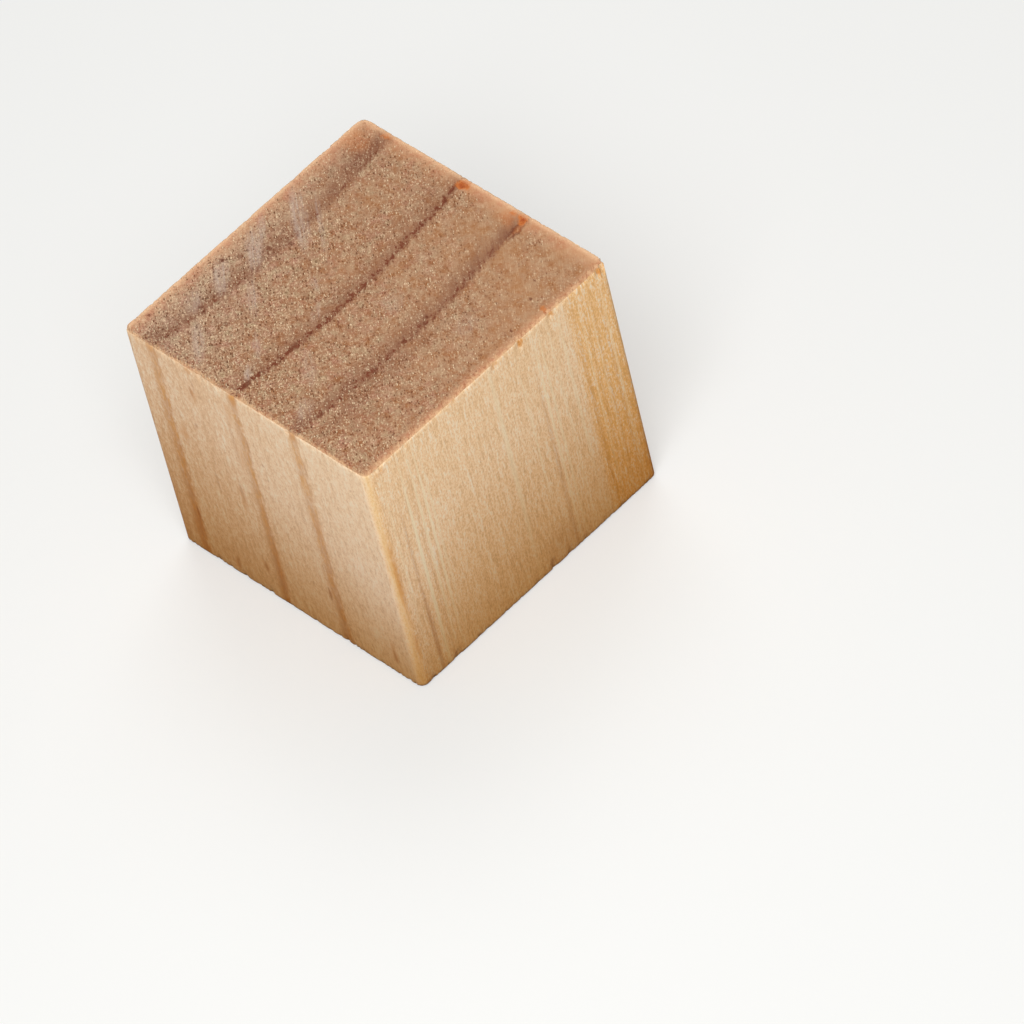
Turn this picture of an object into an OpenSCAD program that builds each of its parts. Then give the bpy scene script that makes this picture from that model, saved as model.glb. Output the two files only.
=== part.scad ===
// Wooden craft cube: one block of pine, crosscut from a planed square stick.
// It stands on one sawn end, so the grain runs upright along Z.
// X crosses the growth rings, from the pith side to the bark side. Y runs along them.
// The origin is at the centre of the sawn end that it stands on.

/* [Block] */
// Width across the growth rings, from the left face to the right face
width = 25; // [12:0.2:60]
// Depth along the growth rings, from the front face to the back face
depth = 25.4; // [12:0.2:60]
// Length that the saw cut off along the grain
grain_length = 23.6; // [12:0.2:60]

/* [Arrises] */
// Radius planed onto the four arrises that run along the grain
planed_arris_r = 0.65; // [0.6:0.05:3]
// Radius that light sanding left on the eight sawn arrises
sawn_arris_r = 0.2; // [0.05:0.05:0.25]

/* [Tear-out] */
// Radius of a bundle of fibres that the saw tore out of a planed face
chip_r = 0.3; // [0.2:0.05:0.6]
// How deep a middling torn bundle reaches into the planed face
chip_bite = 0.14; // [0.05:0.01:0.15]
// How far a middling torn bundle runs down the grain
chip_run = 0.45; // [0.3:0.05:1.2]

/* [Hidden] */
$fn = 64;

// Planed faces in turn about Z. The place along a face goes from 0 at its left to 1 at its right,
// as seen by someone who looks at that face.
FRONT = 0;
RIGHT = 1;
BACK = 2;
LEFT = 3;

BOTTOM = 0;
TOP = 1;

// Torn bundles, each as [face, sawn end, place along the face, size against a middling one].
CHIPS = [
    [FRONT, TOP, 0.24, 0.6],
    [FRONT, TOP, 0.32, 1.2],
    [FRONT, TOP, 0.46, 0.7],
    [FRONT, TOP, 0.68, 1],
    [FRONT, BOTTOM, 0.15, 0.7],
    [FRONT, BOTTOM, 0.26, 0.8],
    [FRONT, BOTTOM, 0.37, 1.2],
    [FRONT, BOTTOM, 0.56, 0.6],
    [FRONT, BOTTOM, 0.69, 0.9],
    [RIGHT, TOP, 0.16, 0.7],
    [RIGHT, TOP, 0.36, 0.6],
    [RIGHT, TOP, 0.53, 1.1],
    [RIGHT, TOP, 0.63, 1.6],
    [RIGHT, TOP, 0.76, 0.9],
    [RIGHT, BOTTOM, 0.15, 0.9],
    [RIGHT, BOTTOM, 0.24, 0.6],
    [RIGHT, BOTTOM, 0.49, 0.7],
    [RIGHT, BOTTOM, 0.56, 1.3],
    [RIGHT, BOTTOM, 0.63, 0.8],
    [RIGHT, BOTTOM, 0.85, 0.6],
    [BACK, TOP, 0.36, 0.7],
    [LEFT, TOP, 0.15, 1.5],
];

// Upright section of a rectangle with its four corners rounded, standing on the X axis.
module rounded_section(span, tall, r) {
    translate([-span / 2, r]) square([span, tall - 2 * r]);
    translate([-span / 2 + r, 0]) square([span - 2 * r, tall]);
    for (side = [-1, 1], y = [r, tall - r])
        translate([side * (span / 2 - r), y]) circle(r);
}

// Slab with rounded sawn arrises along Y, as long as the flat part of its planed face.
module slab(span, run) {
    translate([0, run / 2, 0])
        rotate([90, 0, 0])
            linear_extrude(run) rounded_section(span, grain_length, sawn_arris_r);
}

// Post that rounds one planed arris, with the sawn arrises carried round its two ends.
module arris_post() {
    rotate_extrude()
        intersection() {
            rounded_section(2 * planed_arris_r, grain_length, sawn_arris_r);
            square([planed_arris_r, grain_length]);
        }
}

// The stick as planed and cut, with every arris eased.
module eased_block() {
    flat_width = width - 2 * planed_arris_r;
    flat_depth = depth - 2 * planed_arris_r;
    slab(width, flat_depth);
    rotate([0, 0, 90]) slab(depth, flat_width);
    for (x = [-1, 1], y = [-1, 1])
        translate([x * flat_width / 2, y * flat_depth / 2, 0]) arris_post();
}

// Fibre bundle that leaves a planed face at a sawn end. It runs down the grain and ends round.
module torn_bundle(face, end, place, size) {
    across = face % 2 == 0 ? width : depth;
    out = face % 2 == 0 ? depth / 2 : width / 2;
    bite = chip_bite * size;
    run = chip_run * size;
    translate([0, 0, end * grain_length])
        mirror([0, 0, end])
            rotate([0, 0, 90 * face])
                translate([(place - 0.5) * across, bite - chip_r - out, 0]) {
                    translate([0, 0, -chip_r]) cylinder(r = chip_r, h = run + chip_r);
                    translate([0, 0, run]) sphere(chip_r);
                }
}

// The whole cube: one piece of timber.
module wooden_cube() {
    color("burlywood")
        difference() {
            union() eased_block();
            for (chip = CHIPS) torn_bundle(chip[0], chip[1], chip[2], chip[3]);
        }
}

wooden_cube();
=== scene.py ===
"""A small pine craft cube, crosscut from a planed stick, on a pale studio floor."""
import math
from functools import partial
from types import SimpleNamespace

import bpy
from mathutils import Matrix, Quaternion, Vector


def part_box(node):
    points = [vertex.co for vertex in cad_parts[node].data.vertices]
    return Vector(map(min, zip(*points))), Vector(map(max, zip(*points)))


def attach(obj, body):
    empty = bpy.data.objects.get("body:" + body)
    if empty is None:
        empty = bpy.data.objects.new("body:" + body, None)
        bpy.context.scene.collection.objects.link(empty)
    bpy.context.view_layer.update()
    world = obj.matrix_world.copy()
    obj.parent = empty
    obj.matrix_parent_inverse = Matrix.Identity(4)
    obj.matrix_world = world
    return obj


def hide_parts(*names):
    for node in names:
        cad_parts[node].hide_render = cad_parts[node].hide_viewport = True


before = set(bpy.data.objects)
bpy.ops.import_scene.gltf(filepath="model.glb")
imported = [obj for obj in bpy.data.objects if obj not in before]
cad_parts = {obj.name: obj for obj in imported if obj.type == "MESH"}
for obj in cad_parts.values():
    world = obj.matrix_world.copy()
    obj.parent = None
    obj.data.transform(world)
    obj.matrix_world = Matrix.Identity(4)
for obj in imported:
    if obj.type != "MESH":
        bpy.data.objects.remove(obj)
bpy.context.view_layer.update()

MM = 0.001
CUBE = "wooden_cube"
low_corner, high_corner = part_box(CUBE)
HALF = (high_corner - low_corner) / 2
HALF_WIDTH, HALF_DEPTH, TOP = HALF.x / MM, HALF.y / MM, 2 * HALF.z / MM  # millimetres

# Node kinds that are used often.
MATH, VECTOR, RANGE = "ShaderNodeMath", "ShaderNodeVectorMath", "ShaderNodeMapRange"
NOISE, CELLS, MIX = "ShaderNodeTexNoise", "ShaderNodeTexVoronoi", "ShaderNodeMix"
SPLIT, JOIN = "ShaderNodeSeparateXYZ", "ShaderNodeCombineXYZ"


def linear(hex_colour):
    """Linear RGBA of an sRGB hex colour such as "#D8B48A"."""
    channels = [int(hex_colour[i:i + 2], 16) / 255 for i in (1, 3, 5)]
    return (*[c / 12.92 if c <= 0.04045 else ((c + 0.055) / 1.055) ** 2.4 for c in channels], 1.0)


def add_node(tree, kind, *values, inputs=None, **settings):
    """Adds a node, sets its properties and fills its inputs. The values fill the live inputs in order,
    and inputs fills more by name. A node or socket is linked, None is skipped, the rest are set."""
    made = tree.nodes.new(kind)
    for name, value in settings.items():
        setattr(made, name, value)
    live = [socket for socket in made.inputs if socket.enabled]
    pairs = list(zip(live, values))
    pairs += [(made.inputs[name], value) for name, value in (inputs or {}).items()]
    for socket, value in pairs:
        if isinstance(value, bpy.types.Node):
            value = next(output for output in value.outputs if output.enabled)
        if isinstance(value, bpy.types.NodeSocket):
            tree.links.new(value, socket)
        elif value is not None:
            socket.default_value = value
    return made


# ------------------------------------------------------------------ shape of the block

PLANED_ARRIS = 0.65 * MM
SAWN_ARRIS = 0.2 * MM
CHIP_RADIUS = 0.3 * MM
CHIP_BITE = 0.14 * MM
CHIP_RUN = 0.45 * MM
TEAR_DEPTH = 0.19 * MM
# How finely the block is cut up, and how strongly its points crowd towards the arrises, up to 1.
POINTS_ACROSS = 181
POINTS_ALONG_GRAIN = 37
CROWDING = Vector((0.5, 0.5, 0.9))

# Torn bundles of fibres, as the part has them: way the planed face looks, sawn end,
# place along the face from its left, size against a middling one.
FRONT, RIGHT, BACK, LEFT = Vector((0, -1, 0)), Vector((1, 0, 0)), Vector((0, 1, 0)), Vector((-1, 0, 0))
CHIPS = [
    (FRONT, 1, 0.24, 0.6), (FRONT, 1, 0.32, 1.2), (FRONT, 1, 0.46, 0.7), (FRONT, 1, 0.68, 1.0),
    (FRONT, -1, 0.15, 0.7), (FRONT, -1, 0.26, 0.8), (FRONT, -1, 0.37, 1.2), (FRONT, -1, 0.56, 0.6),
    (FRONT, -1, 0.69, 0.9), (RIGHT, 1, 0.16, 0.7), (RIGHT, 1, 0.36, 0.6), (RIGHT, 1, 0.53, 1.1),
    (RIGHT, 1, 0.63, 1.6), (RIGHT, 1, 0.76, 0.9), (RIGHT, -1, 0.15, 0.9), (RIGHT, -1, 0.24, 0.6),
    (RIGHT, -1, 0.49, 0.7), (RIGHT, -1, 0.56, 1.3), (RIGHT, -1, 0.63, 0.8), (RIGHT, -1, 0.85, 0.6),
    (BACK, 1, 0.36, 0.7), (LEFT, 1, 0.15, 1.5),
]
# Three more round the top of the back right arris.
CORNER_CHIPS = [(RIGHT, 1, 0.96, 1.2), (RIGHT, 1, 0.98, 2.0), (BACK, 1, 0.015, 2.0)]


def chip_lines():
    """Axes of the torn bundles, as loose edges that run down the grain just outside the planed faces."""
    points = []
    for way, end, place, size in CHIPS + CORNER_CHIPS:
        across = Vector((-way.y, way.x, 0))
        out = abs(way.dot(HALF)) + CHIP_RADIUS - CHIP_BITE * size
        middle = way * out + across * (2 * place - 1) * abs(across.dot(HALF)) + Vector((0, 0, HALF.z))
        points.append(middle + Vector((0, 0, end * (HALF.z + CHIP_RADIUS))))
        points.append(middle + Vector((0, 0, end * (HALF.z - CHIP_RUN * size))))
    mesh = bpy.data.meshes.new("chip_lines")
    mesh.from_pydata(points, [(i, i + 1) for i in range(0, len(points), 2)], [])
    lines = bpy.data.objects.new("chip_lines", mesh)
    bpy.context.scene.collection.objects.link(lines)
    return lines


def block_tree():
    """Geometry Nodes tree of the block: a box of graded cells whose arrises are eased and then torn."""
    tree = bpy.data.node_groups.new("eased_and_torn_block", "GeometryNodeTree")
    for name, kind in (
        ("Half Size", "Vector"), ("Planed Arris", "Float"), ("Sawn Arris", "Float"),
        ("Points Across", "Int"), ("Points Along Grain", "Int"), ("Crowding", "Vector"),
        ("Chip Lines", "Object"), ("Chip Radius", "Float"), ("Tear Depth", "Float"),
        ("Timber", "Material"),
    ):
        tree.interface.new_socket(name, in_out="INPUT", socket_type="NodeSocket" + kind)
    tree.interface.new_socket("Geometry", in_out="OUTPUT", socket_type="NodeSocketGeometry")
    add = partial(add_node, tree)
    given = add("NodeGroupInput").outputs
    half, planed, sawn = given["Half Size"], given["Planed Arris"], given["Sawn Arris"]
    half_height = add(SPLIT, half).outputs["Z"]
    place = add("GeometryNodeInputPosition")

    # A box from -1 to 1, its cells crowded towards the arrises.
    box = add("GeometryNodeMeshCube", (2, 2, 2), given["Points Across"], given["Points Across"],
              given["Points Along Grain"]).outputs["Mesh"]
    wave = add(VECTOR, add(VECTOR, place, (math.pi,) * 3, operation="MULTIPLY"), operation="SINE")
    graded = add(VECTOR, wave, given["Crowding"], place, operation="MULTIPLY_ADD")

    # The bake's map: one tile for each side, three across and two up. From 0 on they are the right, left,
    # front, back, top and bottom sides.
    tile_margin = 0.97
    way = add("GeometryNodeFieldOnDomain", add("GeometryNodeInputNormal"), data_type="FLOAT_VECTOR",
              domain="FACE")
    way_x, way_y, way_z = add(SPLIT, way).outputs
    size_x = add(MATH, way_x, operation="ABSOLUTE")
    size_y = add(MATH, way_y, operation="ABSOLUTE")
    size_z = add(MATH, way_z, operation="ABSOLUTE")
    right_way = add(VECTOR, add(VECTOR, (0, 0, 1), way, operation="CROSS_PRODUCT"),
                    add(JOIN, size_z), operation="ADD")
    up_way = add(JOIN, None, way_z, add(MATH, 1.0, size_z, operation="SUBTRACT"))
    tile_x = add(MATH, size_x, add(MATH, way_x, -0.5, 0.5, operation="MULTIPLY_ADD"),
                 operation="MULTIPLY")
    tile_y = add(MATH, size_y, add(MATH, way_y, 0.5, 2.5, operation="MULTIPLY_ADD"), tile_x,
                 operation="MULTIPLY_ADD")
    tile = add(MATH, add(MATH, size_z, add(MATH, way_z, -0.5, 4.5, operation="MULTIPLY_ADD"), tile_y,
                         operation="MULTIPLY_ADD"), operation="ROUND")
    row = add(MATH, add(MATH, tile, 3.0, operation="DIVIDE"), operation="FLOOR")
    column = add(MATH, row, -3.0, tile, operation="MULTIPLY_ADD")
    in_tile = [add(MATH, add(VECTOR, graded, side, operation="DOT_PRODUCT").outputs["Value"],
                   tile_margin / 2, 0.5, operation="MULTIPLY_ADD") for side in (right_way, up_way)]
    map_place = add(VECTOR, add(JOIN, add(MATH, column, in_tile[0], operation="ADD"),
                                add(MATH, row, in_tile[1], operation="ADD")),
                    (1 / 3, 1 / 2, 0), operation="MULTIPLY")
    mapped = add("GeometryNodeStoreNamedAttribute", box, None, "OFBake", map_place,
                 data_type="FLOAT2", domain="CORNER")

    # The planed arrises: square corners of the outline become quarter circles.
    centred = add(VECTOR, graded, half, operation="MULTIPLY")
    height = add(SPLIT, centred).outputs["Z"]
    flat = add(VECTOR, centred, (1, 1, 0), operation="MULTIPLY")
    core = add(VECTOR, add(VECTOR, half, (1, 1, 0), operation="MULTIPLY"), add(JOIN, planed, planed),
               operation="SUBTRACT")
    anchor = add(VECTOR, flat, add(VECTOR, core, -1.0, operation="SCALE"), operation="MAXIMUM")
    anchor = add(VECTOR, anchor, core, operation="MINIMUM")
    out = add(VECTOR, flat, anchor, operation="SUBTRACT")
    out_x, out_y, _ = add(SPLIT, add(VECTOR, out, operation="ABSOLUTE")).outputs
    reach = add(MATH, out_x, out_y, operation="MAXIMUM")
    sideways = add(VECTOR, out, operation="NORMALIZE")

    # The sawn arrises: where reach and height both come near their limits, they round off together.
    over_side = add(MATH, reach, add(MATH, planed, sawn, operation="SUBTRACT"), operation="SUBTRACT")
    over_side = add(MATH, over_side, 0.0, operation="MAXIMUM")
    rise = add(MATH, height, operation="ABSOLUTE")
    over_end = add(MATH, rise, add(MATH, half_height, sawn, operation="SUBTRACT"), operation="SUBTRACT")
    over_end = add(MATH, over_end, 0.0, operation="MAXIMUM")
    square = add(MATH, over_side, over_end, operation="MAXIMUM")
    diagonal = add(VECTOR, add(JOIN, over_side, over_end), operation="LENGTH").outputs["Value"]
    easing = add(MATH, square, diagonal, operation="DIVIDE")
    eased_side = add(MATH, over_side, easing, operation="MULTIPLY")
    eased_end = add(MATH, over_end, easing, operation="MULTIPLY")
    new_reach = add(MATH, add(MATH, reach, over_side, operation="SUBTRACT"), eased_side, operation="ADD")
    new_rise = add(MATH, add(MATH, rise, over_end, operation="SUBTRACT"), eased_end, operation="ADD")
    up = add(MATH, height, operation="SIGN")
    eased = add(VECTOR, add(VECTOR, sideways, new_reach, operation="SCALE"), anchor, operation="ADD")
    eased = add(VECTOR, eased, add(JOIN, None, None, add(MATH, new_rise, up, half_height,
                                                         operation="MULTIPLY_ADD")), operation="ADD")
    outward = add(VECTOR, add(VECTOR, add(VECTOR, sideways, eased_side, operation="SCALE"),
                              add(JOIN, None, None, add(MATH, eased_end, up, operation="MULTIPLY")),
                              operation="ADD"), operation="NORMALIZE")
    end_grain = add(MATH, eased_end, square, operation="DIVIDE")
    from_arris = add(MATH, add(MATH, add(MATH, half_height, new_rise, operation="SUBTRACT"),
                               add(MATH, planed, new_reach, operation="SUBTRACT"), operation="ADD"),
                     1 / MM, operation="MULTIPLY")

    mesh = mapped
    for name, value, kind in (("end_grain", end_grain, "FLOAT"), ("from_arris", from_arris, "FLOAT"),
                              ("outward", outward, "FLOAT_VECTOR")):
        mesh = add("GeometryNodeStoreNamedAttribute", mesh, None, name, value, data_type=kind,
                   domain="POINT")
    shaped = add("GeometryNodeSetPosition", mesh, None, eased)

    # Tears: fibres broken away at the sawn arrises, in bundles a third of a millimetre wide. Some are
    # deeper or run further down the grain.
    ended = add("GeometryNodeInputNamedAttribute", "end_grain", data_type="FLOAT")
    gap = add("GeometryNodeInputNamedAttribute", "from_arris", data_type="FLOAT")
    away = add("GeometryNodeInputNamedAttribute", "outward", data_type="FLOAT_VECTOR")
    in_mm = add(VECTOR, place, 1 / MM, operation="SCALE")
    along_fibres = add(VECTOR, in_mm, (1, 1, 0.12), operation="MULTIPLY")
    bundles_a_mm = 3.0
    bundles = add(NOISE, along_fibres, bundles_a_mm, 3.0, 0.7)
    torn = add(RANGE, bundles, 0.45, 0.68, 0.0, 1.0)
    run = add(RANGE, add(NOISE, add(VECTOR, along_fibres, (7.3, 1.9, 0), operation="ADD"), 1.1, 1.0),
              0.35, 0.7, 0.12, 0.9)
    shortened = add(MATH, gap, add(MATH, ended, 1.6, 1.0, operation="MULTIPLY_ADD"),
                    operation="MULTIPLY")
    fade = add(RANGE, add(MATH, shortened, run, operation="DIVIDE"), 0.0, 1.0, 1.0, 0.0,
               interpolation_type="SMOOTHSTEP")
    depth = add(MATH, add(MATH, torn, fade, operation="MULTIPLY"), given["Tear Depth"],
                operation="MULTIPLY")
    worn = add("GeometryNodeSetPosition", shaped, inputs={
        "Offset": add(VECTOR, away, add(MATH, depth, -1.0, operation="MULTIPLY"), operation="SCALE")})

    # Chips: points inside a torn bundle are pushed out to its wall.
    lines = add("GeometryNodeObjectInfo", given["Chip Lines"]).outputs["Geometry"]
    nearest = add("GeometryNodeProximity", lines, inputs={"Sample Position": place},
                  target_element="EDGES")
    inside = add(MATH, given["Chip Radius"], nearest.outputs["Distance"], operation="SUBTRACT")
    inside = add(MATH, inside, 0.0, operation="MAXIMUM")
    off_line = add(VECTOR, add(VECTOR, place, nearest.outputs["Position"], operation="SUBTRACT"),
                   operation="NORMALIZE")
    chipped = add("GeometryNodeSetPosition", worn, inputs={
        "Offset": add(VECTOR, off_line, inside, operation="SCALE")})

    smooth = add("GeometryNodeSetShadeSmooth", add("GeometryNodeRemoveAttribute", chipped, "outward"))
    timber = add("GeometryNodeSetMaterial", add("GeometryNodeRealizeInstances", smooth), None,
                 given["Timber"])
    add("NodeGroupOutput", timber)
    return tree


def make_block(timber):
    """The cube as a plain mesh, made by the block tree."""
    source = bpy.data.objects.new("block_source", bpy.data.meshes.new("block_source"))
    bpy.context.scene.collection.objects.link(source)
    lines = chip_lines()
    tree = block_tree()
    modifier = source.modifiers.new("block", "NODES")
    modifier.node_group = tree
    sizes = {
        "Half Size": HALF, "Planed Arris": PLANED_ARRIS, "Sawn Arris": SAWN_ARRIS,
        "Points Across": POINTS_ACROSS, "Points Along Grain": POINTS_ALONG_GRAIN,
        "Crowding": CROWDING / math.pi, "Chip Lines": lines, "Chip Radius": CHIP_RADIUS,
        "Tear Depth": TEAR_DEPTH, "Timber": timber,
    }
    for item in tree.interface.items_tree:
        if item.in_out == "INPUT":
            modifier[item.identifier] = sizes[item.name]
    source.update_tag()
    depsgraph = bpy.context.evaluated_depsgraph_get()
    mesh = bpy.data.meshes.new_from_object(source.evaluated_get(depsgraph), depsgraph=depsgraph)
    mesh.name = "pine_cube"
    for spent in (source, lines):
        bpy.data.objects.remove(spent)
    block = bpy.data.objects.new("pine_cube", mesh)
    bpy.context.scene.collection.objects.link(block)
    return block


# ------------------------------------------------------------------ pine

# Features a millimetre in the finest patterns. Pine's fibres are 0.03 to 0.04 mm across, too fine to show,
# so each speck of grit and each fleck is drawn as a bundle of four or five of them.
GRIT_A_MM = 6.5
FLECKS_A_MM = 6.8
# Fraying moves the borders of marks by whole bundles, about 0.4 mm wide.
FRAY_A_MM = 2.4
# Degrees by which the saw's strokes slant over the ends.
STROKE_SLANT = 40
# About the thickness of one fibre.
RELIEF_HEIGHT = 0.03 * MM
PLANED_ROUGHNESS = 0.55
SAWN_ROUGHNESS = 0.75

# Colours of the planed faces.
HONEY = "#F3CBA0"
PALE_HONEY = "#FFDFB8"
WARM_HONEY = "#FED7A6"
# Painted shade on the front arrises.
ARRIS_SHADE_HONEY = "#E8BF7E"
GOLD = "#FFCE90"
DEEP_GOLD = "#FFC058"
BAND_SHADE = "#CFA06C"
BAND_RUST = "#C4824A"
BAND_AMBER = "#DE983A"
DARK_FIBRE = "#B58656"
PALE_FIBRE = "#FFEDD0"
PALE_LINE = "#FFEDC8"
CANAL_BROWN = "#AC6430"
AMBER_RESIN = "#DA9448"
# Painted shade towards the foot.
PAINTED_FOOT_SHADE = "#E7D0A0"
# Bruises and painted contact shadow at the lower arrises.
BRUISE_AND_SHADOW_BROWN = "#6E4522"
# Colours of the sawn ends.
END_BROWN = "#966037"
END_GREY = "#B08D70"
KHAKI = "#998254"
RUST = "#AE7460"
SMOOTH_BROWN = "#B48250"
LEFT_GREY = "#B8A796"
# Painted light coming through the wood near the sides.
GLOW_HONEY = "#D2A078"
GLOW_RED = "#C88660"
RING_SHADE = "#7E5038"
RING_LINE = "#72361A"
# Fibre ends: partly their own tone, partly painted shadows and glints.
DARK_FLECK_AND_SHADOW = "#7A4420"
BRIGHT_FLECK_AND_GLINT = "#EFCFA8"
RUB_GREY = "#BFAA9A"
PIT_BROWN = "#683012"
RESIN_ORANGE = "#C8702C"
RESIN_RED = "#A04410"
BLEACHED_RIM = "#F1CAA0"
HONEY_RIM = "#E0B88C"
# Painted shadow in torn spots at the rim.
TORN_SHADOW_BROWN = "#965024"

# From here on, places on the block are in mm from the middle of its base.
# The rings are round a pith far to the left of the block and a little to its front.
PITH_AWAY = 125.0
PITH_FRONT = 2.0
# They come nearer to it by this much for each mm down the block.
RING_LEAN = 0.008

# For each ring: its outer edge and how gently it ends; on the planed faces the width and strength of its
# latewood; on the sawn ends how far inside the edge its shade starts and is full, how strong it is, and
# the strength of its dark line.
RINGS = [
    (-8.1, 0.5, 1.4, 0.85, 1.9, 0.8, 0.6, 0.65),
    (-0.35, 0.4, 1.15, 0.95, 2.5, 0.1, 0.6, 1.1),
    (6.0, 0.5, 1.4, 0.8, 2.4, 0.3, 0.7, 0.85),
]
# The dark line lies this far inside the outer edge, and fades over this reach to either side.
LINE_INSET = 0.25
LINE_REACH = 0.65
# The next ring grazes the right face at its back and tints it gold, with a sharp border.
GOLDEN_RING = 12.88
GOLDEN_BORDER = 0.03

# Where the rings swing outwards or inwards: centre, half sizes, amount.
BENDS = [
    ((-8.6, -7.5, 12.0), (3.0, 4.5, 40.0), -0.3), ((-9.0, -13.5, 12.0), (3.0, 5.5, 40.0), -0.45),
    ((-9.5, -12.7, 0.0), (3.0, 6.0, 18.0), -0.3), ((-0.8, 7.5, 12.0), (3.0, 6.0, 40.0), -0.3),
    ((-1.0, -13.0, 12.0), (3.0, 5.0, 40.0), -0.1), ((5.2, 8.5, 12.0), (3.0, 7.0, 40.0), -0.35),
    ((5.8, -13.2, 12.0), (3.0, 4.5, 40.0), -0.1), ((-0.9, 13.0, 12.0), (3.0, 4.0, 40.0), -0.25),
]

# Resin canals and other dark dashes that the plane has opened, and darker stripes: centre, half sizes,
# strength.
CANALS = [
    ((-6.1, -12.7, 20.8), (0.22, 2, 0.9), 0.6), ((-6.7, -12.7, 16.6), (0.25, 2, 0.4), 0.4),
    ((-6.0, -12.7, 11.0), (0.2, 2, 1.5), 0.3), ((-3.3, -12.7, 11.3), (0.25, 2, 1.5), 0.35),
    ((-2.5, -12.7, 18.0), (0.3, 2, 3.8), 0.2), ((4.2, -12.7, 5.0), (0.2, 2, 1.2), 0.65),
    ((10.2, -12.7, 2.2), (0.22, 2, 1.1), 0.5), ((-2.9, -12.7, 3.3), (0.22, 2, 0.9), 0.5),
    ((-6.3, -12.7, 1.6), (0.3, 2, 1.0), 0.35), ((0.3, -12.7, 16.9), (0.2, 2, 0.3), 0.4),
    ((-9.7, -12.7, 4.8), (0.2, 2, 1.1), 0.6), ((-5.7, -12.7, 21.6), (0.15, 2, 1.0), 0.3),
    ((-0.9, -12.7, 18.0), (0.15, 2, 1.5), 0.3), ((5.5, -12.7, 19.8), (0.15, 2, 1.5), 0.3),
    ((12.5, -10.4, 3.5), (1.5, 0.3, 7.0), 0.4), ((12.5, -9.1, 9.0), (1.5, 0.16, 16.0), 0.12),
    ((12.5, -10.5, 12.0), (1.5, 0.22, 9.0), 0.25),
    ((12.5, 8.6, 11.8), (2.0, 0.3, 16.0), 0.18), ((12.5, 9.6, 11.8), (2.0, 0.2, 15.0), 0.12),
    ((12.5, 10.4, 11.8), (2.0, 0.2, 15.0), 0.12), ((12.5, 11.2, 11.8), (2.0, 0.2, 15.0), 0.14),
    ((12.5, 4.1, 9.0), (1.5, 0.3, 14.0), 0.2), ((12.5, -12.2, 11.5), (1.0, 0.3, 5.5), 0.25),
    ((12.5, 3.2, 0.5), (2.0, 3.2, 4.5), 0.16),
]
# Places where resin has coloured the planed faces orange: along the front right arris, in torn bundles and
# in patches of the bands.
AMBER = [
    ((12.46, -12.29, 12.2), (0.25, 0.22, 5.5), 0.75), ((12.4, -12.3, 12.0), (0.7, 0.65, 9.0), 0.27),
    ((12.45, -12.2, 4.5), (0.25, 0.3, 2.0), 0.4),
    ((12.4, 11.8, 23.1), (0.8, 0.3, 0.6), 1.0), ((12.4, 6.7, 23.3), (0.8, 0.4, 0.45), 1.0),
    ((12.4, 3.5, 23.2), (0.8, 0.4, 0.5), 1.0), ((12.4, 0.7, 23.3), (0.8, 0.6, 0.4), 0.6),
    ((12.4, -3.6, 23.4), (0.8, 0.4, 0.3), 0.5), ((12.4, -11.4, 23.0), (0.8, 0.7, 0.5), 0.4),
    ((-5.8, -12.7, 23.3), (0.5, 0.8, 0.4), 0.5), ((-1.2, -12.7, 23.0), (0.6, 0.8, 1.2), 0.5),
    ((4.9, -12.7, 23.2), (0.5, 0.8, 0.8), 0.6), ((-9.8, -12.7, 23.2), (0.6, 0.8, 0.8), 0.4),
    ((-8.4, -12.7, 14.6), (0.7, 0.8, 1.2), 0.4), ((-2.3, -12.7, 21.0), (0.7, 0.8, 1.5), 0.3),
    ((-2.2, -12.7, 16.0), (0.5, 0.8, 2.0), 0.3), ((-3.3, -12.7, 10.5), (0.5, 0.8, 2.0), 0.3),
    ((-6.1, -12.7, 20.5), (0.6, 0.8, 1.4), 0.35), ((5.0, -12.7, 13.0), (0.6, 0.8, 2.0), 0.35),
    ((-2.9, -12.7, 3.4), (0.5, 0.8, 1.2), 0.3),
    ((-6.4, -12.7, 1.4), (0.6, 0.8, 1.2), 0.3), ((10.2, -12.7, 2.6), (0.5, 0.8, 1.8), 0.35),
    ((-10.1, -12.7, 3.0), (0.7, 0.8, 4.0), 0.35), ((-1.2, -12.7, 4.0), (0.6, 0.8, 3.5), 0.35),
]
# Pale fibre lines of the right face.
PALE_LINES = [
    ((12.5, -9.65, 10.0), (1.5, 0.24, 16.0), 0.9), ((12.5, -8.75, 12.0), (1.5, 0.2, 16.0), 0.6),
    ((12.5, -8.1, 12.0), (1.5, 0.18, 16.0), 0.7), ((12.5, -7.6, 12.0), (1.5, 0.18, 16.0), 0.35),
    ((12.5, 0.1, 14.0), (1.5, 0.34, 18.0), 0.5), ((12.5, 2.7, 14.0), (1.5, 0.16, 12.0), 0.35),
    ((12.5, 4.55, 12.0), (1.5, 0.2, 16.0), 0.55), ((12.5, 5.15, 12.0), (1.5, 0.18, 16.0), 0.5),
    ((12.5, 6.1, 12.0), (1.5, 0.2, 16.0), 0.25), ((12.5, 7.2, 14.0), (1.5, 0.24, 14.0), 0.4),
    ((12.5, 9.2, 11.8), (1.5, 0.18, 16.0), 0.3), ((12.5, 10.2, 11.8), (1.5, 0.16, 16.0), 0.25),
    ((12.5, 11.5, 11.8), (1.5, 0.2, 16.0), 0.35), ((12.5, -11.4, 12.0), (1.5, 0.18, 16.0), 0.25),
]
# Dusky patches of the sawn top.
DUSK = [
    ((6.7, -5.0, TOP), (1.2, 9.0, 2), 0.35), ((-10.2, 9.5, TOP), (1.6, 3.5, 2), 0.3),
    ((-3.0, 8.0, TOP), (1.2, 5.0, 2), 0.15), ((7.5, -9.0, TOP), (2.0, 3.5, 2), 0.15),
]
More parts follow.
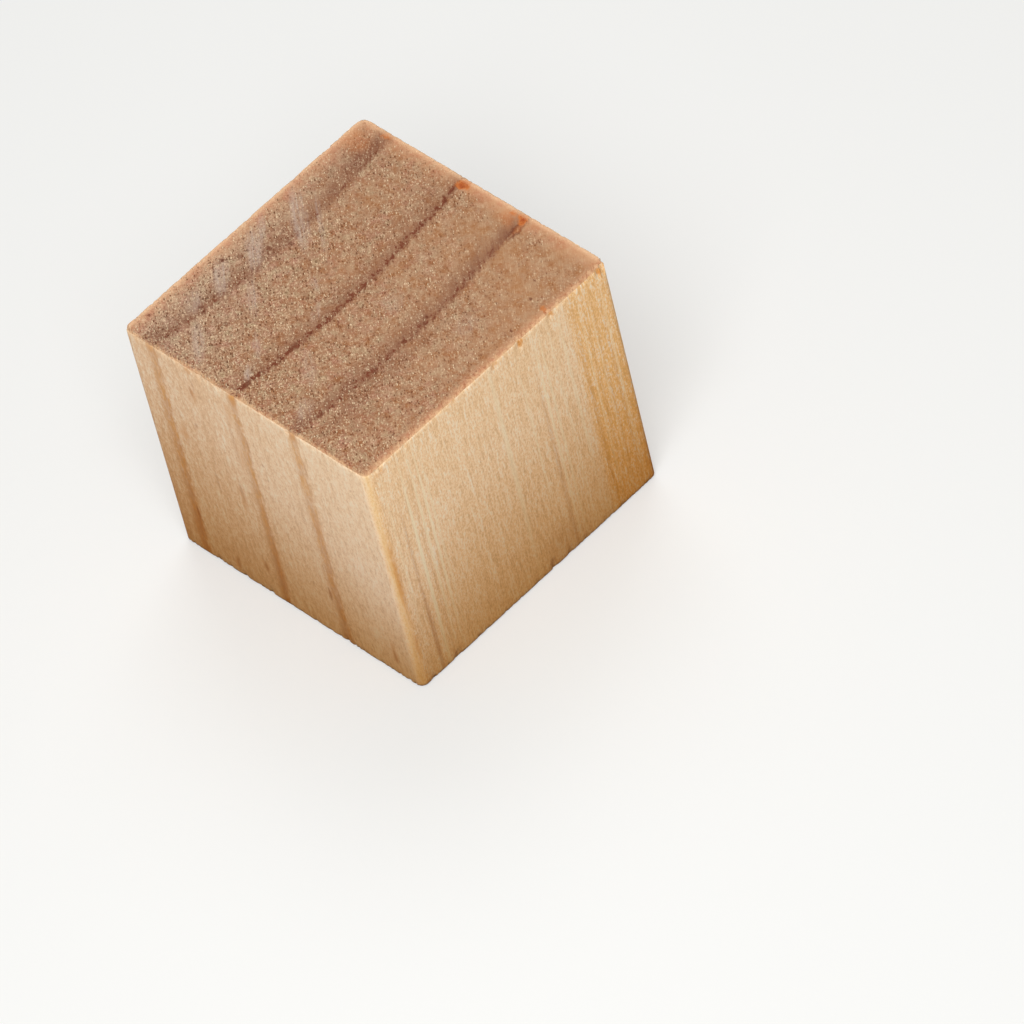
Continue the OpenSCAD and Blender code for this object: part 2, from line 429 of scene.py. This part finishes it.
# Rub marks on the sawn top: centre, half sizes, strength, and from here on a turn in degrees, if any.
RUBS = [
    ((-9.2, 2.6, TOP), (4.2, 0.85, 2), 0.95, -38), ((-9.9, -1.5, TOP), (2.8, 0.9, 2), 0.95, -44),
    ((-10.0, -4.9, TOP), (2.5, 0.85, 2), 0.95, -46), ((-6.6, -5.0, TOP), (2.6, 0.6, 2), 0.7, -40),
    ((-1.7, -10.3, TOP), (1.3, 0.5, 2), 0.8, -55), ((-6.9, -10.4, TOP), (2.7, 0.7, 2), 0.65, -42),
    ((-7.6, 3.2, TOP), (4.2, 0.3, 2), 0.6, -38), ((-11.0, 0.4, TOP), (1.9, 0.4, 2), 0.6, -42),
    ((-9.9, -7.8, TOP), (1.7, 0.9, 2), 0.6, -50), ((-3.0, -8.2, TOP), (2.0, 0.4, 2), 0.5, -40),
    ((-1.6, -3.4, TOP), (1.6, 0.45, 2), 0.5, -50), ((1.8, -7.6, TOP), (2.6, 0.8, 2), 0.35, -40),
    ((4.2, -10.5, TOP), (1.6, 0.8, 2), 0.45, -50), ((-3.8, -1.4, TOP), (1.2, 0.4, 2), 0.5, -30),
    ((8.3, 2.2, TOP), (1.5, 1.2, 2), 0.3, -40), ((2.4, 0.6, TOP), (1.4, 1.2, 2), 0.3, -40),
]
# Dark pits and splits between the fibre ends.
PITS = [
    ((-9.0, -0.8, TOP), (0.35, 0.25, 1), 0.9), ((-10.2, -2.6, TOP), (0.3, 0.2, 1), 0.7),
    ((-11.1, -3.7, TOP), (0.3, 0.3, 1), 1.0), ((-6.4, -8.0, TOP), (0.35, 0.3, 1), 0.8),
    ((-8.0, 0.4, TOP), (0.35, 0.25, 1), 0.9), ((-9.15, -7.9, TOP), (0.35, 0.25, 1), 0.8, -30),
    ((-8.6, -8.1, TOP), (0.25, 0.45, 1), 0.9), ((-11.8, -10.7, TOP), (0.25, 0.25, 1), 0.8),
    ((5.65, -1.5, TOP), (0.24, 0.24, 1), 1.0), ((5.65, 0.55, TOP), (0.4, 0.26, 1), 1.0, -40),
    ((5.35, 1.15, TOP), (0.26, 0.24, 1), 1.0), ((5.5, -10.1, TOP), (0.25, 0.5, 1), 0.9),
    ((-0.7, -6.7, TOP), (0.4, 0.6, 1), 0.9, 25), ((-1.0, -11.2, TOP), (0.32, 0.6, 1), 0.9, 25),
    ((-1.4, 10.1, TOP), (0.4, 0.15, 1), 1.0, -45), ((10.4, 6.75, TOP), (0.25, 0.15, 1), 0.9),
    ((9.45, 8.3, TOP), (0.2, 0.15, 1), 0.8), ((11.4, 3.7, TOP), (0.3, 0.12, 1), 1.0, -40),
    ((11.2, -8.5, TOP), (0.6, 0.1, 1), 0.8, -60), ((10.5, -5.3, TOP), (0.12, 0.4, 1), 0.6),
    ((0.5, -3.2, TOP), (0.55, 0.1, 1), 0.9, -45), ((11.4, -5.6, TOP), (0.25, 0.12, 1), 0.7, -40),
    ((5.9, -1.15, TOP), (0.4, 0.1, 1), 1.0, -45), ((4.75, 11.0, TOP), (0.24, 1.4, 1), 0.9, 2),
    ((5.15, 10.9, TOP), (0.2, 1.3, 1), 0.8, 2), ((-1.9, 11.6, TOP), (0.35, 0.25, 1), 0.4),
]
# Spots soaked with resin, mostly at the back ends of the rings.
RESIN_SPOTS = [
    ((-1.4, 12.1, TOP), (0.75, 0.65, 1.2), 1.1), ((4.5, 12.25, TOP), (0.6, 0.55, 1.2), 1.0),
    ((-1.6, 11.75, TOP), (0.6, 0.35, 1.2), 0.45), ((4.75, 11.9, TOP), (0.35, 0.45, 1.2), 0.9),
    ((-9.5, 12.3, TOP), (0.75, 0.5, 1.0), 0.45), ((3.6, 12.2, TOP), (0.5, 0.35, 1.0), 0.45),
    ((3.6, 11.5, TOP), (1.4, 0.7, 1.0), 0.2, -40), ((-0.7, 12.0, TOP), (0.9, 0.7, 1.0), 0.15),
    ((4.95, 11.2, TOP), (0.35, 1.1, 1.0), 0.22, 2),
    ((11.9, 6.6, TOP), (0.6, 0.3, 1.0), 0.45), ((-11.2, 10.6, TOP), (2.0, 1.5, 1.2), 0.22),
]


def marks(add, place, spots):
    """Soft ellipsoids at chosen places, added up. A spot has its centre, half sizes and strength, and some
    have a turn about the upright."""
    result = None
    for centre, reach, strength, *turn in spots:
        offset = add(VECTOR, place, centre, operation="SUBTRACT")
        if turn:
            offset = add("ShaderNodeVectorRotate", offset, rotation_type="Z_AXIS",
                         inputs={"Angle": math.radians(-turn[0])})
        scaled = add(VECTOR, offset, tuple(1 / r for r in reach), operation="MULTIPLY")
        distance = add(VECTOR, scaled, operation="LENGTH").outputs["Value"]
        spot = add(RANGE, distance, 0.3, 1.0, strength, 0.0, interpolation_type="SMOOTHSTEP")
        result = add(MATH, result, spot, operation="ADD") if result else spot
    return result


def laid_over(add, base, layers):
    """The base colour, with the colour of each layer laid over it in turn, by the layer's amount."""
    for amount, colour in layers:
        if isinstance(colour, str):
            colour = linear(colour)
        base = add(MIX, amount, base, colour, data_type="RGBA")
    return base


def wood_patterns(add):
    """What the planed faces and the sawn ends share: places in mm, unevenness and the growth rings."""
    place = add(VECTOR, add("ShaderNodeTexCoord").outputs["Object"], 1 / MM, operation="SCALE")
    x, y, z = add(SPLIT, place).outputs

    # How far in from each side a point lies.
    left_room = add(MATH, x, HALF_WIDTH, operation="ADD")
    right_room = add(MATH, HALF_WIDTH, x, operation="SUBTRACT")
    front_room = add(MATH, y, HALF_DEPTH, operation="ADD")
    back_room = add(MATH, HALF_DEPTH, y, operation="SUBTRACT")
    near_room = add(MATH, front_room, right_room, operation="MINIMUM")

    # Unevenness. Marks stray by frayed, and fibre lines by straight.
    grit = add(NOISE, add(VECTOR, place, (1, 1, 0.6), operation="MULTIPLY"), GRIT_A_MM, 2.0, 0.85)
    grit = add(MATH, grit, 0.5, operation="SUBTRACT")
    fray = add(NOISE, add(VECTOR, place, (1, 1, 0.3), operation="MULTIPLY"), FRAY_A_MM, 2.0, 0.7).outputs
    fray_size = fray["Fac"]
    fray_way = add(VECTOR, fray["Color"], (0.5, 0.5, 0.5), operation="SUBTRACT")
    frayed = add(VECTOR, fray_way, (0.6, 0.6, 1.2), place, operation="MULTIPLY_ADD")
    straight = add(VECTOR, fray_way, (0.12, 0.12, 1.2), place, operation="MULTIPLY_ADD")

    # Threads are bundles of fibres, 0.17 mm wide on the right and left faces and 0.33 mm on the others.
    thread = add(NOISE, add(VECTOR, place, (3.0, 6.0, 0.9), operation="MULTIPLY"), 1.0, 2.0, 0.8)
    thread = add(MATH, thread, 0.5, operation="SUBTRACT")

    # The saw's strokes slant over the ends. Short ones are 0.14 mm wide.
    slanted = add("ShaderNodeVectorRotate", place, rotation_type="Z_AXIS",
                  inputs={"Angle": math.radians(STROKE_SLANT)})
    stroke = add(NOISE, add(VECTOR, slanted, (0.7, 7.0, 0.1), operation="MULTIPLY"), 1.0, 2.0, 0.8)
    stroke = add(MATH, stroke, 0.5, operation="SUBTRACT")

    # How far out in the tree a point lies. It drifts over the whole block and wobbles over a millimetre.
    far = add(VECTOR, place, (PITH_AWAY, PITH_FRONT, 0), operation="ADD")
    far = add(VECTOR, far, (1, 1, 0), operation="MULTIPLY")
    far = add(MATH, add(VECTOR, far, operation="LENGTH").outputs["Value"], PITH_AWAY, operation="SUBTRACT")
    depth = add(MATH, add(MATH, TOP, z, operation="SUBTRACT"), RING_LEAN, far, operation="MULTIPLY_ADD")
    depth = add(MATH, depth, marks(add, place, BENDS), operation="SUBTRACT")
    drift = add(NOISE, add(VECTOR, place, (0.14, 0.14, 0.05), operation="MULTIPLY"), 1.0, 1.0)
    wobble = add(NOISE, add(VECTOR, place, (1, 1, 0.1), operation="MULTIPLY"), 1.3, 3.0, 0.6)
    for noise, amount in ((drift, 0.4), (wobble, 0.5)):
        noise = add(MATH, noise, 0.5, operation="SUBTRACT")
        depth = add(MATH, noise, amount, depth, operation="MULTIPLY_ADD")
    sawn_depth = add(MATH, add(MATH, stroke, 0.9, grit, operation="MULTIPLY_ADD"), 0.7, depth,
                     operation="MULTIPLY_ADD")
    planed_depth = add(MATH, thread, 0.5, depth, operation="MULTIPLY_ADD")

    # The rings: each darkens slowly outwards and ends at once.
    latewood, shade, line = None, None, None
    for edge, soft, width, strength, dusk_start, dusk_full, dusk_strength, line_strength in RINGS:
        parts = []
        for part_depth, start, full, amount in (
            (planed_depth, width, 0.35 * width, strength),
            (sawn_depth, dusk_start, dusk_full, dusk_strength),
        ):
            rise = add(RANGE, part_depth, edge - start, edge - full, 0.0, amount,
                       interpolation_type="SMOOTHSTEP")
            stop = add(RANGE, part_depth, edge - soft / 2, edge + soft / 2, 1.0, 0.0,
                       interpolation_type="SMOOTHSTEP")
            parts.append(add(MATH, rise, stop, operation="MULTIPLY"))
        off_line = add(MATH, sawn_depth, edge - LINE_INSET, operation="SUBTRACT")
        off_line = add(MATH, off_line, operation="ABSOLUTE")
        parts.append(add(RANGE, off_line, 0.0, LINE_REACH, line_strength, 0.0,
                         interpolation_type="SMOOTHSTEP"))
        latewood, shade, line = (
            add(MATH, total, part, operation="ADD") if total else part
            for total, part in zip((latewood, shade, line), parts))

    return SimpleNamespace(
        place=place, x=x, y=y, z=z, left_room=left_room, right_room=right_room, front_room=front_room,
        back_room=back_room, near_room=near_room, grit=grit, fray_size=fray_size, frayed=frayed,
        straight=straight, thread=thread, slanted=slanted, stroke=stroke, far=far, depth=depth,
        latewood=latewood, shade=shade, line=line)


def planed_faces(add, wood):
    """Colour of the planed faces."""
    # Streaks that run the whole length, and a fine mottle. Both are stronger on the right and left faces.
    streak = add(NOISE, add(VECTOR, wood.place, (0.6, 2.8, 0.03), operation="MULTIPLY"), 1.0, 3.0, 0.8)
    tone = add(MATH, add(MATH, streak, 0.5, operation="SUBTRACT"), 0.7,
               add(MATH, wood.thread, 1.4, operation="MULTIPLY"), operation="MULTIPLY_ADD")
    tone = add(MATH, wood.grit, 1.6, tone, operation="MULTIPLY_ADD")
    radial = add(RANGE, add(MATH, wood.x, operation="ABSOLUTE"), HALF_WIDTH - 0.5, HALF_WIDTH - 0.1)
    tone = add(MATH, tone, add(MATH, radial, 0.25, 0.8, operation="MULTIPLY_ADD"), operation="MULTIPLY")
    pale_fibres = add(MATH, add(MATH, wood.latewood, -0.6, 1.0, operation="MULTIPLY_ADD"),
                      add(RANGE, tone, -0.05, 0.4, 0.0, 0.95), operation="MULTIPLY")

    # The golden ring deepens towards the foot.
    golden = add(RANGE, wood.far, GOLDEN_RING - GOLDEN_BORDER, GOLDEN_RING + GOLDEN_BORDER)
    deeper = add(MATH, golden, add(RANGE, wood.z, 7.0, 24.0, 0.55, 0.15), operation="MULTIPLY")

    # The bands are broken up by the streaks, more so towards the top, and turn from rust to amber.
    solid = add(RANGE, wood.z, 0.0, 18.0, 0.3, 0.05)
    broken = add(MATH, wood.grit, 1.0, solid, operation="MULTIPLY_ADD")
    broken = add(MATH, add(MATH, streak, wood.fray_size, operation="MULTIPLY"), 2.0, broken,
                 operation="MULTIPLY_ADD")
    bands = add(MATH, wood.latewood, broken, operation="MULTIPLY", use_clamp=True)
    band_colour = add(MIX, add(RANGE, wood.fray_size, 0.42, 0.58), linear(BAND_RUST), linear(BAND_AMBER),
                      data_type="RGBA")

    canals = add(MATH, marks(add, wood.straight, CANALS), 0.85, operation="MULTIPLY")
    amber = add(MATH, marks(add, wood.frayed, AMBER),
                add(MATH, wood.grit, 2.0, 0.8, operation="MULTIPLY_ADD"), operation="MULTIPLY",
                use_clamp=True)
    # Painted shade: the two front arrises are darkened to a deeper honey, against the light they catch.
    rubs_and_arris_shade = add(MATH, radial, add(RANGE, wood.y, 0.6 - HALF_DEPTH, 0.2 - HALF_DEPTH),
                 operation="MULTIPLY")

    colour = laid_over(add, linear(HONEY), [
        (add(RANGE, wood.depth, -9.0, 12.0), PALE_HONEY),
        (add(MATH, radial, add(RANGE, wood.depth, 9.0, 12.5), operation="MULTIPLY"), WARM_HONEY),
        (golden, GOLD),
        (deeper, DEEP_GOLD),
        (add(MATH, wood.shade, 0.2, operation="MULTIPLY"), BAND_SHADE),
        (bands, band_colour),
        (add(RANGE, tone, -0.42, 0.02, 0.36, 0.0), DARK_FIBRE),
        (pale_fibres, PALE_FIBRE),
        (canals, CANAL_BROWN),
        (amber, AMBER_RESIN),
        (marks(add, wood.straight, PALE_LINES), PALE_LINE),
        # Painted shade on the two front arrises.
        (add(MATH, rubs_and_arris_shade, 0.6, operation="MULTIPLY"), ARRIS_SHADE_HONEY),
    ])

    # Painted shade: the wood is darker and warmer towards the foot, from 9 mm up at the front right arris
    # and higher up elsewhere.
    foot_shade_height = add(RANGE, wood.y, -HALF_DEPTH, -5.0, 14.6, 20.4)
    foot_shade_height = add(MATH, wood.x, -0.43, foot_shade_height, operation="MULTIPLY_ADD")
    painted_foot_shade = add(RANGE, add(MATH, wood.z, foot_shade_height, operation="DIVIDE"), 0.0, 1.0, 1.0, 0.0)
    return add(MIX, painted_foot_shade, colour, linear(PAINTED_FOOT_SHADE), data_type="RGBA", blend_type="MULTIPLY")


def sawn_ends(add, wood):
    """Colour of the sawn ends, and how far each fibre end stands up or gapes. Its bright and dark fibre
    ends are partly the wood's own tone, partly painted glints and shadows.
    """
    # The wood is coarser to the left and front, and smoother in the shade of the rings.
    patch = add(NOISE, wood.place, 0.35, 2.0, 0.6)
    patch = add(MATH, patch, 0.5, operation="SUBTRACT")
    coarse = add(MATH, patch, 1.5, 0.9, operation="MULTIPLY_ADD")
    coarse = add(MATH, wood.y, -0.034, coarse, operation="MULTIPLY_ADD")
    coarse = add(MATH, wood.x, -0.024, coarse, operation="MULTIPLY_ADD")
    coarse = add(MATH, wood.shade, -0.3, coarse, operation="MULTIPLY_ADD")

    # Khaki and rust patches where it is coarse, brown where it is smooth, and greyer to the left.
    stains = add(NOISE, wood.place, 1.1, 4.0, 0.7).outputs
    mossy, rosy, _ = add(SPLIT, stains["Color"]).outputs
    stained = add(RANGE, coarse, 0.4, 1.2, 0.15, 0.7)
    leftward = add(MATH, wood.y, 0.3, wood.x, operation="MULTIPLY_ADD")
    colour = laid_over(add, linear(END_BROWN), [
        (add(RANGE, stains["Fac"], 0.34, 0.66), END_GREY),
        (add(MATH, stained, add(RANGE, mossy, 0.5, 0.75), operation="MULTIPLY"), KHAKI),
        (add(MATH, stained, add(RANGE, rosy, 0.5, 0.75), operation="MULTIPLY"), RUST),
        (add(RANGE, coarse, 0.1, 0.9, 0.35, 0.0), SMOOTH_BROWN),
        (add(RANGE, leftward, -14.0, -5.0, 0.25, 0.0), LEFT_GREY),
    ])

    # Fibre ends: a lottery among cells for the brightest and darkest, a fine noise and the short strokes.
    cell_place = add(VECTOR, wood.slanted, (0.6, 1.3, 0.5),
                     add(MATH, wood.grit, 0.15, operation="MULTIPLY"), operation="MULTIPLY_ADD")
    cells = add(CELLS, cell_place, FLECKS_A_MM).outputs
    lottery = add(MATH, add(SPLIT, cells["Color"]).outputs["X"], 0.5, operation="SUBTRACT")
    lottery = add(MATH, add(MATH, lottery, 3.0, operation="POWER"),
                  add(RANGE, cells["Distance"], 0.15, 0.6, 8.0, 0.0), operation="MULTIPLY")
    speck = add(NOISE, wood.slanted, FLECKS_A_MM, 1.0, 0.9)
    speck = add(MATH, speck, 0.5, operation="SUBTRACT")
    fleck = add(MATH, speck, 1.15, lottery, operation="MULTIPLY_ADD")
    fleck = add(MATH, fleck, coarse, operation="MULTIPLY")
    fleck = add(MATH, wood.stroke, 0.45, fleck, operation="MULTIPLY_ADD")

    # Painted light: a glow near the left and back sides, and a little at the others, stands in for light
    # that comes through the thin wood, and the fibre ends are fainter there.
    far_room = add(MATH, add(MATH, wood.left_room, 0.95, operation="MULTIPLY"), wood.back_room,
                   operation="MINIMUM")
    room = add(MATH, add(MATH, wood.front_room, 6.0, operation="MULTIPLY"),
               add(MATH, wood.right_room, 2.0, operation="MULTIPLY"), operation="MINIMUM")
    room = add(MATH, room, far_room, operation="MINIMUM")
    uneven = add(MATH, patch, 1.0, wood.grit, operation="MULTIPLY_ADD")
    uneven = add(MATH, uneven, 0.6, room, operation="MULTIPLY_ADD")
    glow = add(MATH, add(RANGE, uneven, 0.1, 2.0, 0.95, 0.0), 1.4, operation="POWER")
    glow_colour = add(MIX, add(RANGE, rosy, 0.42, 0.62), linear(GLOW_HONEY), linear(GLOW_RED),
                      data_type="RGBA")
    fleck = add(MATH, fleck, add(RANGE, room, 0.2, 1.5, 0.45, 1.0), operation="MULTIPLY")

    # Dusk and rub marks, broken up by long strokes 0.3 mm wide.
    brushed = add(NOISE, add(VECTOR, wood.slanted, (0.22, 3.4, 0.1), operation="MULTIPLY"), 1.0, 3.0, 0.8)
    dusk = add(MATH, add(MATH, wood.shade, marks(add, wood.frayed, DUSK), operation="ADD"),
               add(RANGE, brushed, 0.36, 0.62, 0.7, 1.25), operation="MULTIPLY", use_clamp=True)
    rubs_and_arris_shade = add(MATH, marks(add, wood.frayed, RUBS), add(RANGE, brushed, 0.36, 0.6, 0.15, 0.95),
                 operation="MULTIPLY")
    rubs_and_arris_shade = add(MATH, rubs_and_arris_shade, add(MATH, wood.grit, 1.8, 0.8, operation="MULTIPLY_ADD"),
                 operation="MULTIPLY", use_clamp=True)
    rubs_and_arris_shade = add(MATH, rubs_and_arris_shade, add(RANGE, fleck, -0.6, 0.6, 0.7, 1.0), operation="MULTIPLY")

    # The rings' dark lines are drawn in dashes.
    line = add(MATH, wood.line, add(RANGE, wood.fray_size, 0.42, 0.58, 0.5, 1.2), operation="MULTIPLY")
    dashes = add(NOISE, add(VECTOR, wood.slanted, (1.5, 3.2, 0.3), operation="MULTIPLY"), 1.0, 2.0, 0.6)
    dashes = add(RANGE, add(MATH, line, 0.3, dashes, operation="MULTIPLY_ADD"), 0.69, 0.87, 0.15, 1.25)
    dashes = add(MATH, dashes, add(MATH, wood.grit, 1.2, 1.0, operation="MULTIPLY_ADD"),
                 operation="MULTIPLY")
    drawn = add(MATH, line, dashes, operation="MULTIPLY", use_clamp=True)

    # Pits and resin.
    pitted = add(MATH, marks(add, wood.frayed, PITS),
                 add(MATH, wood.grit, 2.0, 0.8, operation="MULTIPLY_ADD"), operation="MULTIPLY",
                 use_clamp=True)
    soaked = add(MATH, marks(add, wood.frayed, RESIN_SPOTS),
                 add(MATH, wood.grit, 1.5, 1.0, operation="MULTIPLY_ADD"), operation="MULTIPLY")

    # The very rim is bleached: evenly at the left and back, fibre by fibre at the front and right, where
    # torn spots inside it are darkened with painted shadow.
    far_rim = add(MATH, wood.grit, 0.4, far_room, operation="MULTIPLY_ADD")
    ragged = add(NOISE, add(VECTOR, wood.place, (1, 1, 0.3), operation="MULTIPLY"), 3.0, 2.0, 0.8)
    ragged = add(RANGE, ragged, 0.45, 0.7, 0.0, 0.5)
    near_rim = add(MATH, wood.near_room, ragged, operation="SUBTRACT")
    near_rim = add(MATH, wood.grit, 0.3, near_rim, operation="MULTIPLY_ADD")
    torn = add(MATH, add(RANGE, near_rim, 0.1, 0.6, 0.8, 0.0), add(RANGE, wood.stroke, 0.0, 0.12),
               operation="MULTIPLY")

    colour = laid_over(add, colour, [
        (glow, glow_colour),
        (dusk, RING_SHADE),
        # Bright and dark fibre ends: partly the wood's own tone, partly painted glints and shadows.
        (add(RANGE, fleck, -0.55, -0.02, 0.85, 0.0), DARK_FLECK_AND_SHADOW),
        (add(RANGE, fleck, 0.02, 0.6, 0.0, 0.95), BRIGHT_FLECK_AND_GLINT),
        (rubs_and_arris_shade, RUB_GREY),
        (drawn, RING_LINE),
        (pitted, PIT_BROWN),
        (add(RANGE, soaked, 0.0, 0.7, 0.0, 0.85), RESIN_ORANGE),
        (add(RANGE, soaked, 0.65, 1.5, 0.0, 0.9), RESIN_RED),
        (add(RANGE, far_rim, 0.0, 0.55, 0.72, 0.0), BLEACHED_RIM),
        (torn, TORN_SHADOW_BROWN),
        (add(RANGE, near_rim, 0.0, 0.25, 0.5, 0.0), HONEY_RIM),
    ])
    return colour, fleck


def pine_material():
    """Plantation pine, planed along the grain and sawn across it. The planed faces are pale honey with
    golden latewood bands, and painted shade makes them darker and more golden towards the foot. The sawn
    ends are greyer and redder, patched rust and khaki and speckled with bright and dark fibre ends, partly
    painted glints and shadows, with purple-brown rings and a bleached rim."""
    material = bpy.data.materials.new("planed_and_sawn_pine")
    material.use_nodes = True
    material.node_tree.nodes.clear()
    add = partial(add_node, material.node_tree)
    wood = wood_patterns(add)
    long_grain = planed_faces(add, wood)
    end_grain, fleck = sawn_ends(add, wood)

    # Where the two meet, the edge is fibre by fibre.
    ended = add("ShaderNodeAttribute", attribute_name="end_grain").outputs["Fac"]
    is_end = add(RANGE, add(MATH, wood.grit, 0.8, ended, operation="MULTIPLY_ADD"), 0.5, 0.8)
    # The lower arrises are darker, bundle by bundle: partly bruises from the saw, partly painted contact
    # shadow.
    side_room = add(MATH, wood.left_room, wood.back_room, operation="MINIMUM")
    side_room = add(MATH, wood.near_room, side_room, operation="MINIMUM")
    lowest = add(MATH, add(RANGE, wood.z, 0.06, 0.36, 1.0, 0.0), add(RANGE, side_room, 0.1, 0.4, 1.0, 0.0),
                 operation="MULTIPLY")
    bruise_and_contact_shadow = add(MATH, lowest, add(RANGE, wood.fray_size, 0.4, 0.58, 0.2, 0.85), operation="MULTIPLY")
    colour = laid_over(add, long_grain, [(is_end, end_grain), (bruise_and_contact_shadow, BRUISE_AND_SHADOW_BROWN)])

    long_relief = add(MATH, wood.thread, 0.8, wood.grit, operation="MULTIPLY_ADD")
    long_relief = add(MATH, long_relief, 1.5, operation="MULTIPLY")
    end_relief = add(MATH, fleck, 2.2, operation="MULTIPLY")
    relief = add(MIX, is_end, long_relief, end_relief, data_type="FLOAT")
    bump = add("ShaderNodeBump", 1.0, RELIEF_HEIGHT, inputs={"Height": relief})
    rough = add(RANGE, is_end, 0.0, 1.0, PLANED_ROUGHNESS, SAWN_ROUGHNESS)
    shader = add("ShaderNodeBsdfPrincipled", inputs={
        "Base Color": colour, "Roughness": rough, "Normal": bump, "IOR": 1.5, "Specular IOR Level": 0.35})
    add("ShaderNodeOutputMaterial", shader)
    return material


# ------------------------------------------------------------------ studio

PAPER = "#C2C2C0"
NEAR_HAZE = "#9B9B9A"
FAR_HAZE = "#D6D6D5"
WARM_BOUNCE = "#6A2C04"
PALE_BOUNCE = "#F2F0EC"


def stage_floor():
    """A matt pale floor. Close to the block it sends back little light and warm, as wood would."""
    reach = 3.0
    mesh = bpy.data.meshes.new("floor")
    mesh.from_pydata([(-reach, -reach, 0), (reach, -reach, 0), (reach, reach, 0), (-reach, reach, 0)],
                     [], [(0, 1, 2, 3)])
    floor = bpy.data.objects.new("floor", mesh)
    bpy.context.scene.collection.objects.link(floor)
    material = bpy.data.materials.new("matt_paper_floor")
    material.use_nodes = True
    material.node_tree.nodes.clear()
    add = partial(add_node, material.node_tree)
    place = add("ShaderNodeTexCoord").outputs["Object"]
    beyond = add(VECTOR, add(VECTOR, add(VECTOR, place, operation="ABSOLUTE"), (HALF.x, HALF.y, 0),
                             operation="SUBTRACT"), (0, 0, 0), operation="MAXIMUM")
    distance = add(VECTOR, beyond, operation="LENGTH").outputs["Value"]
    # What it sends back turns from warm brown to near white over a few centimetres, and what the eye sees
    # pales slowly with the distance.
    bounce = add(MIX, add(RANGE, distance, 10 * MM, 45 * MM), linear(WARM_BOUNCE), linear(PALE_BOUNCE),
                 data_type="RGBA")
    haze = add(MIX, add(RANGE, distance, 60 * MM, 420 * MM), linear(NEAR_HAZE), linear(FAR_HAZE),
               data_type="RGBA")
    seen = add("ShaderNodeAddShader", add("ShaderNodeBsdfDiffuse", linear(PAPER)),
               add("ShaderNodeEmission", haze))
    path = add("ShaderNodeLightPath").outputs
    paper = add("ShaderNodeMixShader", path["Is Camera Ray"], add("ShaderNodeBsdfDiffuse", bounce), seen)
    add("ShaderNodeOutputMaterial", paper)
    mesh.materials.append(material)


ROOM_LIGHT = 0.32
LAMP_SIZE = 0.16
# For each lamp: its name, where it hangs from the middle of the cube, its watts.
LAMPS = [
    ("softbox", Vector((0.11, -0.11, 0.22)), 0.57),
    ("fill", Vector((-0.11, 0.11, 0.22)), 0.23),
]


def studio_light():
    """Soft, even daylight in a white room, a softbox over the camera's side and a weaker one behind."""
    world = bpy.data.worlds.new("white_room")
    bpy.context.scene.world = world
    world.use_nodes = True
    world.node_tree.nodes.clear()
    add = partial(add_node, world.node_tree)
    room = add("ShaderNodeBackground", linear("#FFFFFF"), ROOM_LIGHT)
    seen = add("ShaderNodeBackground", linear("#FFFFFF"), 1.0)
    add("ShaderNodeOutputWorld", add("ShaderNodeMixShader", add("ShaderNodeLightPath"), room, seen))
    middle = Vector((0, 0, HALF.z))
    for name, way, watts in LAMPS:
        lamp = bpy.data.lights.new(name, "AREA")
        lamp.shape = "SQUARE"
        lamp.size = LAMP_SIZE
        lamp.energy = watts
        light = bpy.data.objects.new(name, lamp)
        light.location = middle + way
        light.rotation_mode = "QUATERNION"
        light.rotation_quaternion = (-way).to_track_quat("-Z", "Y")
        light.visible_camera = False
        bpy.context.scene.collection.objects.link(light)


# The camera stands high to the right of the cube's front and leans a little to one side.
CAMERA_AZIMUTH = 54.636
CAMERA_ELEVATION = 48.02
CAMERA_ROLL = 14.584
CAMERA_DISTANCE = 713.0 * MM
CAMERA_LENS = 346.67
AIM_OFFSET = Vector((14.72, -2.586, 0)) * MM


def make_camera():
    """A long lens at the viewing angle of a close-up, with the cube up and left of the middle."""
    lens = bpy.data.cameras.new("camera")
    lens.lens = CAMERA_LENS
    lens.sensor_width = 36.0
    lens.clip_start, lens.clip_end = 0.01, 20.0
    camera = bpy.data.objects.new("camera", lens)
    azimuth, elevation = math.radians(CAMERA_AZIMUTH), math.radians(CAMERA_ELEVATION)
    back = Vector((math.sin(azimuth) * math.cos(elevation), -math.cos(azimuth) * math.cos(elevation),
                   math.sin(elevation)))
    aim = Vector((0, 0, HALF.z)) + AIM_OFFSET
    camera.location = aim + back * CAMERA_DISTANCE
    camera.rotation_mode = "QUATERNION"
    camera.rotation_quaternion = (-back).to_track_quat("-Z", "Y") @ Quaternion(
        (0, 0, 1), -math.radians(CAMERA_ROLL))
    bpy.context.scene.collection.objects.link(camera)
    bpy.context.scene.camera = camera


# ------------------------------------------------------------------ the scene

bpy.context.scene.view_settings.view_transform = "Standard"
pine = pine_material()
cube = make_block(pine)
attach(cube, "root")
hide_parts(CUBE)
stage_floor()
studio_light()
make_camera()
